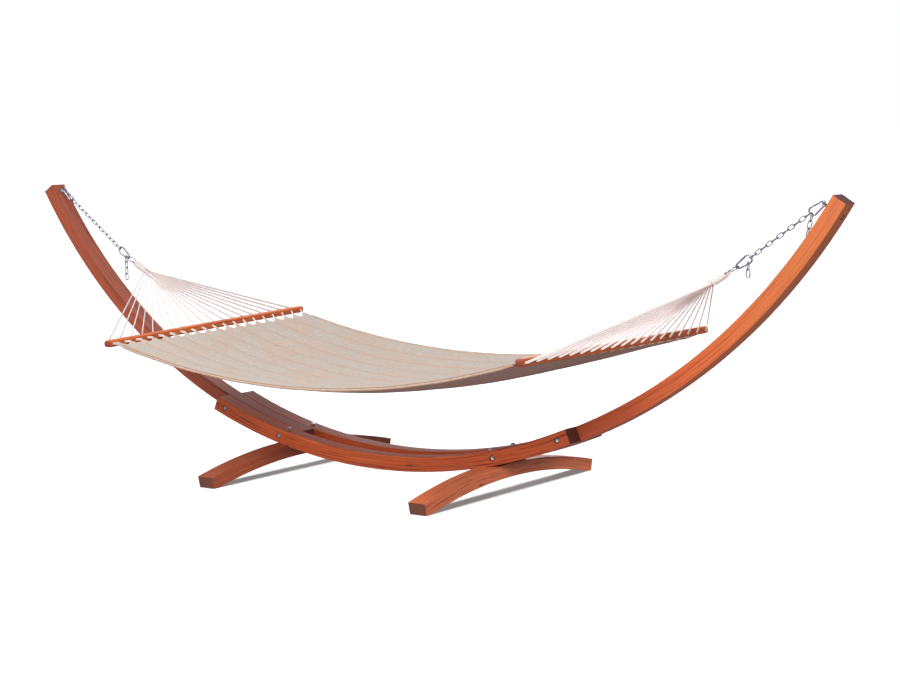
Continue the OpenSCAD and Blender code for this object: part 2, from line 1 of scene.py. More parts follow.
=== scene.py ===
"""Looks of the arc hammock stand: quilted bed, twisted cords, woven clews, varnished arch and zinc fittings."""

import json
import math

import bpy
import numpy as np
from mathutils import Matrix, Vector

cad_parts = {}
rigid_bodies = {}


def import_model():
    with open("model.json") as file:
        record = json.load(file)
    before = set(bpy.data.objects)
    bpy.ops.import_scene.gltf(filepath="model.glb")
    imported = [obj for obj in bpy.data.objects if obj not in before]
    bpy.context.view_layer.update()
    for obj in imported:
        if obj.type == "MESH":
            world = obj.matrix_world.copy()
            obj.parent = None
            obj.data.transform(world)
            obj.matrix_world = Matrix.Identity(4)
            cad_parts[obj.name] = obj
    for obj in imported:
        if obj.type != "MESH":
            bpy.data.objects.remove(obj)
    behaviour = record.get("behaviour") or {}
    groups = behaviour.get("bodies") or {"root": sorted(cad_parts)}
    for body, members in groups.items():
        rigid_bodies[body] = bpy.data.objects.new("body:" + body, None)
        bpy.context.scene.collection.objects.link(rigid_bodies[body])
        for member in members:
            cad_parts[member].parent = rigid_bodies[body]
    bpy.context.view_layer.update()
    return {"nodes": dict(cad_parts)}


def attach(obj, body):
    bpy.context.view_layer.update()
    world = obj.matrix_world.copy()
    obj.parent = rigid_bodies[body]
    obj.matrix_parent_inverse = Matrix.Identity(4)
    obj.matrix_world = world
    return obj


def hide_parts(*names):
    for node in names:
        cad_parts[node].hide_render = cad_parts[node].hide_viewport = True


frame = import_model()

# ---------- driving dimensions, in metres and degrees, as the CAD source has them ----------

ARCH_R = 2.355
BEAM_H = 0.062
ARCH_LOW = 0.055
ARCH_Z = ARCH_LOW + ARCH_R + BEAM_H
FOOT_ARC_R = 2.558
FOOT_TOP = 0.065
FOOT_ARC_Z = FOOT_TOP - FOOT_ARC_R
STAND_REACH = 2.05
EYE_R = 0.012
EYE_WIRE = 0.007
RING_WIRE = 0.005
RING_R = 0.0225
WASHER_T = 0.002
EYE_CENTRE_R = ARCH_R - WASHER_T - EYE_R - EYE_WIRE / 2
LEFT_EYE_ANGLE = 57.02
HOOK_WIRE = 0.008
HOOK_NARROW = 0.009
HOOK_WIDE = 0.016
HOOK_SPAN = 0.047
HOOK_TAPER = math.asin((HOOK_WIDE - HOOK_NARROW) / HOOK_SPAN)
PLAY = 0.0004
CHAIN_WIRE = 0.0045
CHAIN_PITCH = 0.027
CHAIN_PLAY = 0.0002
LEFT_LINKS, RIGHT_LINKS = 14, 11
# the whipping and the clew run along the rope, measured from the ring
WHIP_START, WHIP_END = 0.011, 0.080
CLEW_LEN, CLEW_ROW = 0.114, 0.012
BAR_W = 0.030
CORD_PITCH = 0.073
# a visible strand is fuller than the CAD's 4 mm cord; LOOP_HALF is half the distance between a loop's two strands
CORD_D = 0.0049
LOOP_HALF = 0.00235
# cords either side of the middle one
CORD_REACH = 9
MOUTH = 0.004
BED_GAP = 0.032
BED_HALF = 0.666
BED_EDGE = 0.014
BED_INNER = BED_HALF - BED_EDGE
BED_T = 0.012
BED_SAG, BED_BELLY, BELLY_POWER = 0.140, 0.055, 0.84
HEM_SHARE = 0.022
COVER_T = 0.0013
CHANNELS = 10


def heading(angle):
    a = math.radians(angle)
    return np.array([math.cos(a), 0.0, math.sin(a)])


def arch_point(r, angle):
    a = math.radians(angle)
    return np.array([r * math.sin(a), 0.0, ARCH_Z - r * math.cos(a)])


def hook_start(held_wire):
    return HOOK_NARROW - HOOK_WIRE / 2 - PLAY - held_wire / 2


def hook_reach(held_wire):
    return hook_start(held_wire) + HOOK_SPAN + HOOK_WIDE - HOOK_WIRE / 2 - PLAY - CHAIN_WIRE / 2


class Side:
    """One end of the hammock: its hanging line from the eye to the rope, and its spreader bar."""

    def __init__(self, name, pivot, run, links, bar_at, bar_turn, bed_drop, bed_lean):
        self.name, self.run, self.bar_at, self.bar_turn = name, run, np.array(bar_at), bar_turn
        self.out = 1 if name == "left" else -1
        self.bed_drop, self.bed_lean = bed_drop, bed_lean
        self.pivot = pivot
        chain_top = pivot + hook_reach(EYE_WIRE) * heading(run[0])
        chain_end = chain_top + (links * CHAIN_PITCH + CHAIN_WIRE + CHAIN_PLAY) * heading(run[1])
        self.ring_top = chain_end + hook_reach(RING_WIRE) * heading(run[2])
        self.ring_end = self.ring_top + 2 * RING_R * heading(run[3])
        self.along = heading(run[3])
        self.up = np.array([-self.along[2], 0.0, self.along[0]]) * self.out

    def bar_point(self, q):
        """A point given in the bar's own frame, where Y runs along the bar; q holds numbers or arrays."""
        tilt, turn = (math.radians(self.bar_turn[k]) for k in (0, 2))
        y = q[1] * math.cos(tilt) - q[2] * math.sin(tilt)
        z = q[1] * math.sin(tilt) + q[2] * math.cos(tilt)
        x = q[0] * math.cos(turn) - y * math.sin(turn)
        y = q[0] * math.sin(turn) + y * math.cos(turn)
        return np.stack(np.broadcast_arrays(self.bar_at[0] + x, self.bar_at[1] + y, self.bar_at[2] + z), -1)

    def rope_point(self, s, y, h):
        """A point s along the rope from the ring, y across it and h above it."""
        at = np.multiply.outer(s, self.along) + np.multiply.outer(h, self.up)
        at[..., 1] += y
        return self.ring_end + at


# headings of the upper carabiner, the chain, the lower carabiner and the rope
LEFT_RUN = (-39, -36.5, -35, -30.5)
RIGHT_RUN = (217, 215, 213.5, 211.9)
left_pivot = arch_point(EYE_CENTRE_R, -LEFT_EYE_ANGLE) + EYE_R * heading(LEFT_RUN[0])
right_angle = math.degrees(math.acos((ARCH_Z - left_pivot[2]) / (EYE_CENTRE_R - EYE_R)))
right_pivot = arch_point(EYE_CENTRE_R - EYE_R, right_angle)
LEFT = Side("left", left_pivot, LEFT_RUN, LEFT_LINKS, bar_at=(-1.0545, 0.0, 0.5995), bar_turn=(1.4, 0, 2.8),
            bed_drop=0.0005, bed_lean=0.010)
RIGHT = Side("right", right_pivot, RIGHT_RUN, RIGHT_LINKS, bar_at=(1.080, 0.0, 0.628), bar_turn=(0, 0, -1.1),
             bed_drop=0.010, bed_lean=0.006)


# ---------- camera, lights and floor ----------

CAMERA_AT = (5.1178, -6.7551, 1.5132)
CAMERA_TURN, CAMERA_DOWN, CAMERA_ROLL = 35.64, 6.52, -0.70
CAMERA_LENS = 81.09
SENSOR_WIDTH = 36.0
VIEW_FAR = 500.0
LIGHT_TARGET = (0.0, 0.0, 0.6)
KEY_WHITE, LAMP_WHITE = (1.0, 0.985, 0.96), (1.0, 0.99, 0.98)
WORLD_LIGHT = 0.36
WORLD_TINT = (0.94, 0.95, 1.05)
FLOOR_SIZE, DOME_R = 400, 190
FLOOR_SHADE, FLOOR_GLOW = 0.25, 0.19
FLOOR_SUN, SIDE_SUN = 12.5, 2.0
ROPE_PARTS = ("right_cord_", "right_clew_weave", "right_wound_cord", "right_ring_loops")


def make_camera():
    data = bpy.data.cameras.new("camera")
    data.sensor_width = SENSOR_WIDTH
    data.lens = CAMERA_LENS
    data.clip_end = VIEW_FAR
    camera = bpy.data.objects.new("camera", data)
    bpy.context.scene.collection.objects.link(camera)
    turn = Matrix.Rotation(math.radians(CAMERA_TURN), 4, "Z")
    tilt = Matrix.Rotation(math.radians(90 - CAMERA_DOWN), 4, "X")
    roll = Matrix.Rotation(math.radians(CAMERA_ROLL), 4, "Z")
    camera.matrix_world = Matrix.Translation(CAMERA_AT) @ turn @ tilt @ roll
    bpy.context.scene.camera = camera


def light_direction(azimuth, elevation):
    """Toward the light; azimuth turns from the front of the stand to its right."""
    a, e = math.radians(azimuth), math.radians(elevation)
    return Vector((math.sin(a) * math.cos(e), -math.cos(a) * math.cos(e), math.sin(e)))


def area_light(name, azimuth, elevation, distance, size, watts, colour):
    data = bpy.data.lights.new(name, "AREA")
    data.shape, data.size, data.size_y = "RECTANGLE", size[0], size[1]
    data.energy, data.color = watts, colour
    light = bpy.data.objects.new(name, data)
    away = light_direction(azimuth, elevation)
    light.location = Vector(LIGHT_TARGET) + away * distance
    light.rotation_euler = away.to_track_quat("Z", "Y").to_euler()
    bpy.context.scene.collection.objects.link(light)


def collect(name, objects):
    group = bpy.data.collections.new(name)
    for obj in objects:
        group.objects.link(obj)
    return group


def sun_light(name, azimuth, elevation, energy, angle, group, lit):
    """A sun that lights only the named group."""
    data = bpy.data.lights.new(name, "SUN")
    data.energy, data.angle = energy, math.radians(angle)
    sun = bpy.data.objects.new(name, data)
    sun.rotation_euler = light_direction(azimuth, elevation).to_track_quat("Z", "Y").to_euler()
    bpy.context.scene.collection.objects.link(sun)
    sun.light_linking.receiver_collection = collect(group, lit)
    return sun


def stage_material(name, colour, emission):
    material = bpy.data.materials.new(name)
    material.use_nodes = True
    shader = material.node_tree.nodes["Principled BSDF"]
    shader.inputs["Base Color"].default_value = (*colour, 1)
    shader.inputs["Roughness"].default_value = 0.9
    shader.inputs["Specular IOR Level"].default_value = 0.0
    shader.inputs["Emission Color"].default_value = (1, 1, 1, 1)
    shader.inputs["Emission Strength"].default_value = emission
    return material


def make_floor():
    """A pale floor and a white dome behind it; the floor has its own overhead light, which only the feet shade."""
    bpy.ops.mesh.primitive_plane_add(size=FLOOR_SIZE, location=(0, 0, 0))
    floor = bpy.context.object
    floor.name = "floor"
    floor.data.materials.append(stage_material("floor_white", (FLOOR_SHADE,) * 3, FLOOR_GLOW))
    floor.visible_diffuse = floor.visible_glossy = False
    bpy.ops.mesh.primitive_uv_sphere_add(segments=48, ring_count=24, radius=DOME_R)
    dome = bpy.context.object
    dome.name = "backdrop_dome"
    dome.data.materials.append(stage_material("backdrop_white", (0, 0, 0), 1.0))
    dome.visible_diffuse = dome.visible_glossy = dome.visible_transmission = dome.visible_shadow = False
    sun = sun_light("floor_sun", azimuth=0, elevation=86, energy=FLOOR_SUN, angle=30,
                    group="floor_only", lit=[floor])
    feet = [frame["nodes"][name] for name in ("left_foot", "right_foot")]
    sun.light_linking.blocker_collection = collect("floor_shading", feet)


def make_light():
    world = bpy.data.worlds.new("studio")
    world.use_nodes = True
    background = world.node_tree.nodes["Background"].inputs
    background["Color"].default_value = (*WORLD_TINT, 1)
    background["Strength"].default_value = WORLD_LIGHT
    scene = bpy.context.scene
    scene.world = world
    scene.view_settings.view_transform = "Standard"
    area_light("key_light", azimuth=4, elevation=20, distance=6.5, size=(3.5, 1.6), watts=300, colour=KEY_WHITE)
    area_light("top_light", azimuth=-60, elevation=62, distance=5.0, size=(3.0, 2.0), watts=105, colour=LAMP_WHITE)
    area_light("back_light", azimuth=200, elevation=22, distance=7.0, size=(4.0, 2.0), watts=130, colour=LAMP_WHITE)


def side_light():
    """Light from the right that reaches the feet, the bars and the right ropes, and leaves the arms' edges dark."""
    lit = [frame["nodes"][name] for name in ("left_foot", "right_foot", "left_spreader_bar", "right_spreader_bar")]
    lit += [obj for obj in bpy.data.objects if any(part in obj.name for part in ROPE_PARTS)]
    sun_light("side_sun", azimuth=62, elevation=25, energy=SIDE_SUN, angle=14, group="side_lit", lit=lit)


# ---------- node helpers ----------


class Shader:
    """A Principled material and short calls for the nodes in front of it."""

    def __init__(self, name):
        self.material = bpy.data.materials.new(name)
        self.material.use_nodes = True
        self.tree = self.material.node_tree
        self.bsdf = self.tree.nodes["Principled BSDF"]

    def node(self, kind, **settings):
        made = self.tree.nodes.new(kind)
        for key, value in settings.items():
            setattr(made, key, value)
        return made

    def join(self, value, socket):
        if isinstance(value, bpy.types.NodeSocket):
            self.tree.links.new(value, socket)
        elif value is not None:
            socket.default_value = value

    def math(self, operation, a, b=None):
        made = self.node("ShaderNodeMath", operation=operation)
        for value, socket in zip((a, b), made.inputs):
            self.join(value, socket)
        return made.outputs[0]

    def place(self):
        """The place on the piece, in metres."""
        return self.node("ShaderNodeTexCoord").outputs["Object"]

    def split(self, vector):
        made = self.node("ShaderNodeSeparateXYZ")
        self.join(vector, made.inputs[0])
        return made.outputs

    def vector(self, x, y, z):
        made = self.node("ShaderNodeCombineXYZ")
        for value, socket in zip((x, y, z), made.inputs):
            self.join(value, socket)
        return made.outputs[0]

    def stretch(self, vector, scale):
        made = self.node("ShaderNodeVectorMath", operation="MULTIPLY")
        self.join(vector, made.inputs[0])
        made.inputs[1].default_value = scale
        return made.outputs[0]

    def noise(self, vector, scale=1.0, detail=3.0, roughness=0.55, distortion=0.0):
        made = self.node("ShaderNodeTexNoise")
        self.join(vector, made.inputs["Vector"])
        for key, value in (("Scale", scale), ("Detail", detail), ("Roughness", roughness),
                           ("Distortion", distortion)):
            made.inputs[key].default_value = value
        return made.outputs["Fac"]

    def ramp(self, value, *stops):
        """Eases a value through (position, colour or grey) stops."""
        made = self.node("ShaderNodeValToRGB")
        self.join(value, made.inputs[0])
        elements = made.color_ramp.elements
        while len(elements) < len(stops):
            elements.new(0.5)
        for element, (at, colour) in zip(elements, stops):
            element.position = at
            element.color = (*colour, 1) if hasattr(colour, "__len__") else (colour, colour, colour, 1)
        return made.outputs[0]

    def mix(self, factor, a, b, blend="MIX"):
        made = self.node("ShaderNodeMix", data_type="RGBA", blend_type=blend)
        self.join(factor, made.inputs[0])
        for value, socket in ((a, made.inputs[6]), (b, made.inputs[7])):
            self.join((*value, 1) if isinstance(value, tuple) else value, socket)
        return made.outputs[2]

    def bump(self, height, strength, distance):
        made = self.node("ShaderNodeBump")
        self.join(height, made.inputs["Height"])
        made.inputs["Strength"].default_value = strength
        made.inputs["Distance"].default_value = distance
        self.join(made.outputs[0], self.bsdf.inputs["Normal"])

    def set(self, **values):
        for key, value in values.items():
            self.join(value, self.bsdf.inputs[key.replace("_", " ")])
        return self.material


# ---------- materials ----------


def arc_coordinates(s):
    """Distance along the arch, distance from its centre, place across it, and how much a face is an end."""
    x, y, z = s.split(s.place())
    down = s.math("SUBTRACT", ARCH_Z, z)
    angle = s.math("ARCTAN2", x, down)
    radius = s.math("SQRT", s.math("ADD", s.math("MULTIPLY", x, x), s.math("MULTIPLY", down, down)))
    nx, _, nz = s.split(s.node("ShaderNodeTexCoord").outputs["Normal"])
    along_x, along_z = s.math("COSINE", angle), s.math("SINE", angle)
    end = s.math("ABSOLUTE", s.math("ADD", s.math("MULTIPLY", nx, along_x), s.math("MULTIPLY", nz, along_z)))
    return s.vector(s.math("MULTIPLY", angle, ARCH_R), radius, y), end


def foot_coordinates(s):
    """The same for a foot, whose arc lies across the stand."""
    x, y, z = s.split(s.place())
    rise = s.math("SUBTRACT", z, FOOT_ARC_Z)
    angle = s.math("ARCTAN2", y, rise)
    radius = s.math("SQRT", s.math("ADD", s.math("MULTIPLY", y, y), s.math("MULTIPLY", rise, rise)))
    _, ny, nz = s.split(s.node("ShaderNodeTexCoord").outputs["Normal"])
    end = s.math("ABSOLUTE", s.math("SUBTRACT", s.math("MULTIPLY", ny, s.math("COSINE", angle)),
                                    s.math("MULTIPLY", nz, s.math("SINE", angle))))
    return s.vector(s.math("MULTIPLY", angle, FOOT_ARC_R), radius, x), end


def bar_coordinates(s):
    x, y, z = s.split(s.place())
    _, ny, _ = s.split(s.node("ShaderNodeTexCoord").outputs["Normal"])
    return s.vector(y, z, x), s.math("ABSOLUTE", ny)


# the right arm's colour, darker toward its clamped end: share of the stand's half length, tint
RIGHT_ARM_DARKENING = ((0.46, (0.62, 0.43, 0.58)), (0.56, (0.72, 0.52, 0.64)), (0.70, (1.0, 0.82, 0.80)),
               (0.86, (1.0, 1.0, 1.0)))
END_GRAIN = (0.100, 0.034, 0.020)
KNOT_COLOUR = (0.055, 0.018, 0.014)
# how far each seed moves a piece through the pattern, so that no two pieces look cut alike
SEED_SHIFT = (3.1, 0.37, 0.53)
RING_RATE, RING_WAVER = 430, 26


def wood(name, coordinates, light, middle, dark, seed, end_colour=END_GRAIN, knots=True, clamp_darkening=None):
    """Stained softwood under satin varnish: long streaks, fine fibres, growth rings, knots and dark end grain."""
    s = Shader(name)
    grain, end = coordinates(s)
    moved = s.node("ShaderNodeVectorMath", operation="ADD")
    s.join(grain, moved.inputs[0])
    moved.inputs[1].default_value = tuple(seed * shift for shift in SEED_SHIFT)
    grain = moved.outputs[0]
    waver = s.noise(s.stretch(grain, (2.2, 9, 9)), detail=2)
    streaks = s.noise(s.stretch(grain, (1.6, 48, 48)), detail=5, roughness=0.6, distortion=0.6)
    fibres = s.noise(s.stretch(grain, (9, 420, 420)), detail=3, roughness=0.65)
    _, radius, across = s.split(grain)
    rings = s.math("SINE", s.math("ADD", s.math("MULTIPLY", s.math("ADD", radius, across), RING_RATE),
                                  s.math("MULTIPLY", waver, RING_WAVER)))
    tone = s.math("ADD", s.math("MULTIPLY", streaks, 0.62),
                  s.math("ADD", s.math("MULTIPLY", fibres, 0.30), s.math("MULTIPLY", rings, 0.055)))
    colour = s.ramp(tone, (0.30, dark), (0.42, middle), (0.52, middle), (0.66, light))
    thin = s.ramp(s.noise(s.stretch(grain, (3.5, 210, 210)), detail=2), (0.60, 0.0), (0.68, 0.75))
    colour = s.mix(thin, colour, dark)
    if knots:
        cells = s.node("ShaderNodeTexVoronoi")
        s.join(s.stretch(grain, (4.6, 15, 15)), cells.inputs["Vector"])
        cells.inputs["Scale"].default_value = 1.0
        knot = s.ramp(cells.outputs["Distance"], (0.045, 1.0), (0.07, 0.5), (0.13, 0.0))
        colour = s.mix(knot, colour, KNOT_COLOUR)
    # a colour ramp along x that darkens the piece toward the right arm's clamped end
    if clamp_darkening:
        reach = s.math("DIVIDE", s.split(s.place())[0], STAND_REACH)
        colour = s.mix(1.0, colour, s.ramp(reach, *clamp_darkening), blend="MULTIPLY")
    pores = s.noise(s.stretch(grain, (260, 260, 260)), detail=3)
    ends = s.mix(s.ramp(pores, (0.35, 0.0), (0.7, 1.0)), end_colour, tuple(1.9 * c for c in end_colour))
    colour = s.mix(s.ramp(end, (0.72, 0.0), (0.82, 1.0)), colour, ends)
    s.bump(s.math("ADD", s.math("MULTIPLY", fibres, 0.7), s.math("MULTIPLY", streaks, 0.5)), 0.35, 0.0012)
    rough = s.ramp(s.math("ADD", fibres, s.math("MULTIPLY", streaks, 0.4)), (0.4, 0.40), (0.95, 0.60))
    return s.set(Base_Color=colour, Roughness=rough, Specular_IOR_Level=0.3, Coat_Weight=0.05,
                 Coat_Roughness=0.35)


def zinc(name, colour, roughness):
    """Zinc plating: bluish grey with faint crystalline clouding and fine scratches."""
    s = Shader(name)
    at = s.place()
    cloud = s.noise(at, scale=240.0, detail=4)
    scratch = s.noise(s.stretch(at, (900, 220, 900)), detail=2)
    shade = s.ramp(cloud, (0.35, tuple(0.78 * c for c in colour)), (0.65, colour))
    s.bump(s.math("ADD", cloud, s.math("MULTIPLY", scratch, 0.5)), 0.12, 0.0003)
    rough = s.ramp(scratch, (0.3, roughness), (0.75, roughness + 0.16))
    return s.set(Base_Color=shade, Metallic=1.0, Roughness=rough)


def cotton(name, light, shade, painted_glow=0.0):
    """Soft cotton cord: fibres along the lay, a little fuzz and darker hollows between the plies, and a faint
    painted glow in its light colour.
    """
    s = Shader(name)
    at = s.place()
    fuzz = s.noise(at, scale=900, detail=4)
    soil = s.noise(at, scale=14, detail=3)
    colour = s.mix(s.ramp(fuzz, (0.3, 0.55), (0.6, 0.0)), light, shade)
    colour = s.mix(s.ramp(soil, (0.45, 0.0), (0.8, 0.35)), colour, shade)
    s.bump(fuzz, 0.45, 0.0004)
    # the emission is painted light: the cord gives off faint light of its own in its light colour
    return s.set(Base_Color=colour, Roughness=0.9, Sheen_Weight=0.25, Sheen_Roughness=0.5,
                 Specular_IOR_Level=0.25, Emission_Color=(*light, 1), Emission_Strength=painted_glow)


YARN_PITCH = 0.0022


def woven(name, light, shade, tan_and_groove_shade, seams=True):
    """Plain-woven outdoor cloth: crossing yarns, slubs along the weft, and tan thread with painted groove shade in
    the quilting lines.
    """
    s = Shader(name)
    at = s.place()
    x, y, _ = s.split(at)
    warp = s.math("SINE", s.math("MULTIPLY", x, 2 * math.pi / YARN_PITCH))
    weft = s.math("SINE", s.math("MULTIPLY", y, 2 * math.pi / YARN_PITCH))
    weave = s.math("MULTIPLY", warp, weft)
    slub = s.noise(s.stretch(at, (38, 420, 38)), detail=4, roughness=0.65)
    cross_slub = s.noise(s.stretch(at, (420, 30, 30)), detail=3, roughness=0.6)
    broad = s.noise(at, scale=5.5, detail=3)
    streak = s.noise(s.stretch(at, (9, 130, 20)), detail=4, roughness=0.6)
    fleck = s.noise(s.stretch(at, (60, 140, 60)), detail=3, roughness=0.7)
    yarn = s.math("ADD", s.math("MULTIPLY", slub, 0.6), s.math("MULTIPLY", cross_slub, 0.4))
    colour = s.mix(s.ramp(yarn, (0.38, 1.0), (0.62, 0.0)), light, shade)
    colour = s.mix(s.ramp(weave, (-0.2, 0.25), (0.6, 0.0)), colour, shade)
    colour = s.mix(s.ramp(streak, (0.46, 0.0), (0.62, 0.45)), colour, shade)
    colour = s.mix(s.ramp(fleck, (0.54, 0.0), (0.68, 0.55)), colour, tuple(0.72 * c for c in tan_and_groove_shade))
    colour = s.mix(s.ramp(broad, (0.42, 0.0), (0.72, 0.4)), colour, tan_and_groove_shade)
    if seams:
        # the tan band along each quilting line is partly the thread's colour and partly painted shade in the sewn
        # groove
        wander = s.math("MULTIPLY", s.math("SUBTRACT", s.noise(s.stretch(at, (2.0, 0.1, 0.1))), 0.5), 0.06)
        lane = s.math("FRACT", s.math("ADD", s.math("MULTIPLY", s.math("ADD", y, BED_INNER),
                                                    CHANNELS / (2 * BED_INNER)), s.math("ADD", wander, 0.5)))
        off = s.math("ABSOLUTE", s.math("SUBTRACT", lane, 0.5))
        thread_and_groove_shade = s.math("MULTIPLY", s.ramp(off, (0.0, 1.0), (0.028, 0.7), (0.075, 0.0)),
                      s.ramp(s.noise(s.stretch(at, (3.0, 8, 8)), detail=3), (0.32, 0.45), (0.6, 1.0)))
        colour = s.mix(thread_and_groove_shade, colour, tan_and_groove_shade)
    s.bump(s.math("ADD", s.math("MULTIPLY", weave, 0.5), yarn), 0.5, 0.0006)
    return s.set(Base_Color=colour, Roughness=0.92, Sheen_Weight=0.18, Sheen_Roughness=0.45,
                 Specular_IOR_Level=0.2)


def wadding(name):
    """Loose fibre filling."""
    s = Shader(name)
    curl = s.noise(s.place(), scale=420, detail=5, roughness=0.7)
    s.bump(curl, 0.8, 0.002)
    return s.set(Base_Color=s.ramp(curl, (0.3, (0.62, 0.60, 0.56)), (0.7, (0.86, 0.85, 0.82))),
                 Roughness=1.0, Sheen_Weight=0.4)


def paint(name, material):
    """Gives a CAD node its material; the node's mesh and place stay."""
    slots = frame["nodes"][name].material_slots
    for slot in slots:
        slot.link = "OBJECT"
        slot.material = material
    if not slots:
        raise RuntimeError(f"{name} has no material slot")


# ---------- mesh helpers ----------


class Builder:
    """Gathers vertices and faces of one piece."""

    def __init__(self):
        self.points, self.faces, self.count = [], [], 0

    def add(self, points, faces):
        points = np.asarray(points, float).reshape(-1, 3)
        self.points.append(points)
        self.faces.extend([tuple(i + self.count for i in f) for f in faces])
        self.count += len(points)

    def piece(self, name, material, body, nodes=(), crease=None):
        mesh = bpy.data.meshes.new(name)
        mesh.from_pydata(np.concatenate(self.points).tolist(), [], self.faces)
        mesh.validate()
        mesh.materials.append(material)
        mesh.shade_smooth()
        if crease is not None:
            mesh.set_sharp_from_angle(angle=math.radians(crease))
        obj = bpy.data.objects.new(name, mesh)
        bpy.context.scene.collection.objects.link(obj)
        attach(obj, body)
        if nodes:
            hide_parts(*nodes)
        return obj


def resample(points, step):
    """Points about a step apart along a line of straight runs, its corners eased a little."""
    points = np.asarray(points, float)
    lengths = np.r_[0, np.cumsum(np.linalg.norm(np.diff(points, axis=0), axis=1))]
    count = max(2, int(round(lengths[-1] / step)) + 1)
    at = np.linspace(0, lengths[-1], count)
    line = np.stack([np.interp(at, lengths, points[:, k]) for k in range(3)], 1)
    for _ in range(2):
        line[1:-1] = (line[:-2] + 2 * line[1:-1] + line[2:]) / 4
    return line


def transported(points, closed=False):
    """Two unit vectors across the line at each point, turning as little as they can."""
    if closed:
        along = np.roll(points, -1, 0) - np.roll(points, 1, 0)
    else:
        along = np.gradient(points, axis=0)
    along /= np.linalg.norm(along, axis=1)[:, None]
    first = np.eye(3)[np.argmin(np.abs(along[0]))]
    across = np.zeros_like(along)
    for i, t in enumerate(along):
        v = first if i == 0 else across[i - 1]
        v = v - t * (v @ t)
        across[i] = v / np.linalg.norm(v)
    return across, np.cross(along, across)


def sweep(builder, points, radius, sides=8, plies=0, pitch=0.02, relief=0.14, closed=False):
    """A tube or a twisted cord along the points, its ends closed; a ply's ridge follows the same vertices."""
    points = np.asarray(points, float)
    u, v = transported(points, closed)
    run = np.r_[0, np.cumsum(np.linalg.norm(np.diff(points, axis=0), axis=1))]
    spoke = 2 * np.pi * np.arange(sides) / sides
    size = radius * (1 - relief / 2 + relief * np.cos(plies * spoke)) if plies else np.full(sides, radius)
    angle = spoke[None, :] + (2 * np.pi * run / pitch)[:, None] * (1 if plies else 0)
    ring = (u[:, None, :] * np.cos(angle)[..., None] + v[:, None, :] * np.sin(angle)[..., None])
    rings = points[:, None, :] + ring * size[None, :, None]
    rows = len(points)
    spans = rows if closed else rows - 1
    faces = [(i * sides + k, i * sides + (k + 1) % sides,
              (i + 1) % rows * sides + (k + 1) % sides, (i + 1) % rows * sides + k)
             for i in range(spans) for k in range(sides)]
    if not closed:
        faces.append(tuple(range(sides - 1, -1, -1)))
        faces.append(tuple((rows - 1) * sides + k for k in range(sides)))
    builder.add(rings, faces)


def loft(builder, sections):
    """A closed solid through equal closed sections, with flat ends; sections is rows x points x 3."""
    rows, sides, _ = sections.shape
    faces = [(i * sides + k, (i + 1) * sides + k, (i + 1) * sides + (k + 1) % sides, i * sides + (k + 1) % sides)
             for i in range(rows - 1) for k in range(sides)]
    faces.append(tuple(range(sides)))
    faces.append(tuple((rows - 1) * sides + k for k in range(sides - 1, -1, -1)))
    builder.add(sections, faces)


def slab(builder, top, bottom):
    """A closed sheet between two equal grids of points."""
    rows, columns, _ = top.shape
    count = rows * columns
    faces = []
    for i in range(rows - 1):
        for j in range(columns - 1):
            a = i * columns + j
            faces.append((a, a + columns, a + columns + 1, a + 1))
            faces.append((a + count, a + 1 + count, a + columns + 1 + count, a + columns + count))
    rim = (list(range(columns)) + [i * columns + columns - 1 for i in range(1, rows)]
           + [(rows - 1) * columns + j for j in range(columns - 2, -1, -1)]
           + [i * columns for i in range(rows - 2, 0, -1)])
    for a, b in zip(rim, rim[1:] + rim[:1]):
        faces.append((a, b, b + count, a + count))
    builder.add(np.concatenate([top.reshape(-1, 3), bottom.reshape(-1, 3)]), faces)


# ---------- bed ----------

# the sewn lines' depth, the channels' rise and the other relief of the quilting
GROOVE, CREST = 0.0034, 0.0022
PUCKER, PULL, SWELL = 0.0007, 0.0022, 0.0045
PUCKER_PITCH, PULL_REACH = 0.021, 0.11
BED_X0 = LEFT.bar_point((BED_GAP, 0.0, 0.0))[0]
BED_LEN = RIGHT.bar_point((-BED_GAP, 0.0, 0.0))[0] - BED_X0
HEM_MARGIN = 0.020
HEM_PITCH = (BED_HALF - HEM_MARGIN) / CORD_REACH
HEM_NOSE = 0.0052
SCALLOP, DROOP = 0.021, 0.007
wave_random = np.random.default_rng(7)
WAVES = [(wave_random.uniform(3, 11), wave_random.uniform(-14, 14), wave_random.uniform(0, 6.28),
          wave_random.uniform(0.3, 1.0)) for _ in range(9)]


def bed_surface(t, y, depth):
    """The bed: t from its left end (0) to its right end (1), y across it, depth below its top."""
    ends = [side.bar_point((side.out * BED_GAP, y, -side.bed_drop - side.bed_lean * y / BED_HALF))
            for side in (LEFT, RIGHT)]
    bow = 4 * t * (1 - t)
    dip = BED_SAG * bow + BED_BELLY * np.maximum(bow, 0) ** BELLY_POWER * (1 - (y / BED_HALF) ** 2)
    x = ends[0][..., 0] + (ends[1][..., 0] - ends[0][..., 0]) * t
    z = ends[0][..., 2] + (ends[1][..., 2] - ends[0][..., 2]) * t - dip - depth
    return np.stack(np.broadcast_arrays(x, y, z), -1)


def to_end(x):
    """How far a place along the bed is from its nearer end, and how much it is clear of the hem there."""
    nearer = np.minimum(x, BED_LEN - x)
    return nearer, np.clip((nearer - 0.012) / 0.06, 0, 1)


def quilt_swell(x, y):
    """The wadding's slow unevenness, which both faces share."""
    broad = sum(size * np.sin(a * x + b * y + c) for a, b, c, size in WAVES) / len(WAVES)
    return SWELL * broad * to_end(x)[1]


